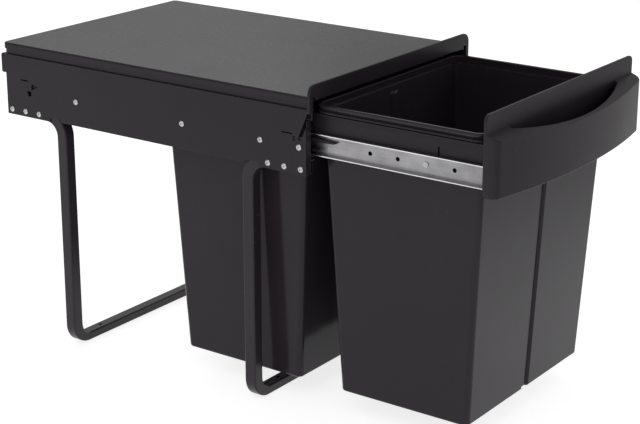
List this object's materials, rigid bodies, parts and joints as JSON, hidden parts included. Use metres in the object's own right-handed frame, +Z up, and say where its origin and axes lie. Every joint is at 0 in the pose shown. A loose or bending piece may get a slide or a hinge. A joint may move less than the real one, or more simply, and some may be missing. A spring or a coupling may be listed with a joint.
{
  "type": "pull out bin frame",
  "caption": "Under-counter pull-out waste unit: a floor-mounted frame with a fixed lid and a sliding drawer on ball slides that carries tapered bins and a bowed handle.",
  "frame": {"origin": "centre of the four screw holes in the floor bars, at floor level", "axes": "+X to the right seen from the handle, +Y from the handle to the rear, +Z up"},
  "size_m": [0.352, 0.7645, 0.42],
  "materials": {
    "panels": "black satin powder coat",
    "crossmember": "black satin powder coat",
    "arch": "black, fine satin moulding",
    "lid": "black, semi-gloss moulding",
    "legs": "black satin powder coat",
    "rivets": "plain blind rivets",
    "spacers": "black satin powder coat",
    "slides": "bright zinc plate",
    "cages": "plain steel strip",
    "balls": "polished steel",
    "bumpers": "black rubber",
    "levers": "black moulding",
    "pins": "bright zinc plate",
    "rails": "black satin powder coat",
    "handle": "black satin moulding",
    "screws": "dark zinc plate",
    "bins": "black, soft sheen moulding"
  },
  "bodies": {
    "frame": {"side_panel_left": "panels", "side_panel_right": "panels", "rear_crossmember": "crossmember", "crossmember_rivets": "rivets", "front_arch": "arch", "lid": "lid", "leg_frame_front": "legs", "leg_frame_rear": "legs", "leg_rivets": "rivets", "slide_rivets": "rivets", "slide_spacer_left": "spacers", "slide_spacer_right": "spacers", "slide_outer_left": "slides", "slide_outer_right": "slides", "slide_bumpers": "bumpers"},
    "slide_middles": {"slide_middle_left": "slides", "slide_middle_right": "slides"},
    "drawer": {"slide_inner_left": "slides", "slide_inner_right": "slides", "rail_rivets": "pins", "lever_pins": "pins", "drawer_rail_left": "rails", "drawer_rail_right": "rails", "drawer_front_bar": "rails", "drawer_middle_bar": "rails", "drawer_rear_bar": "rails", "handle_front": "handle", "handle_screws": "screws", "front_bin": "bins", "rear_bin": "bins"},
    "outer_cages": {"outer_cage_left": "cages", "outer_cage_right": "cages", "outer_balls": "balls"},
    "inner_cages": {"inner_cage_left": "cages", "inner_cage_right": "cages", "inner_balls": "balls"},
    "lever_left": {"release_lever_left": "levers"},
    "lever_right": {"release_lever_right": "levers"}
  },
  "joints": [
    {"name": "middle_slide", "type": "slide", "parent": "frame", "child": "slide_middles", "axis": [0, -1, 0], "range_m": [0, 0.227]},
    {"name": "drawer_slide", "type": "slide", "parent": "slide_middles", "child": "drawer", "axis": [0, -1, 0], "range_m": [-0.227, 0]},
    {"name": "outer_cage_slide", "type": "slide", "parent": "frame", "child": "outer_cages", "axis": [0, -1, 0], "range_m": [0, 0.1135]},
    {"name": "inner_cage_slide", "type": "slide", "parent": "slide_middles", "child": "inner_cages", "axis": [0, -1, 0], "range_m": [-0.1135, 0]},
    {"name": "release_left", "type": "hinge", "parent": "drawer", "child": "lever_left", "pos_m": [-0.1544, -0.216, 0.3436], "axis": [-1, 0, 0], "range_deg": [0, 6], "stiffness_Nm_per_rad": 0.2},
    {"name": "release_right", "type": "hinge", "parent": "drawer", "child": "lever_right", "pos_m": [0.1544, -0.216, 0.3436], "axis": [-1, 0, 0], "range_deg": [0, 6], "stiffness_Nm_per_rad": 0.2}
  ],
  "couplings": [
    {"joint": "outer_cage_slide", "follows": "middle_slide", "ratio": 0.5},
    {"joint": "inner_cage_slide", "follows": "drawer_slide", "ratio": 0.5}
  ]
}
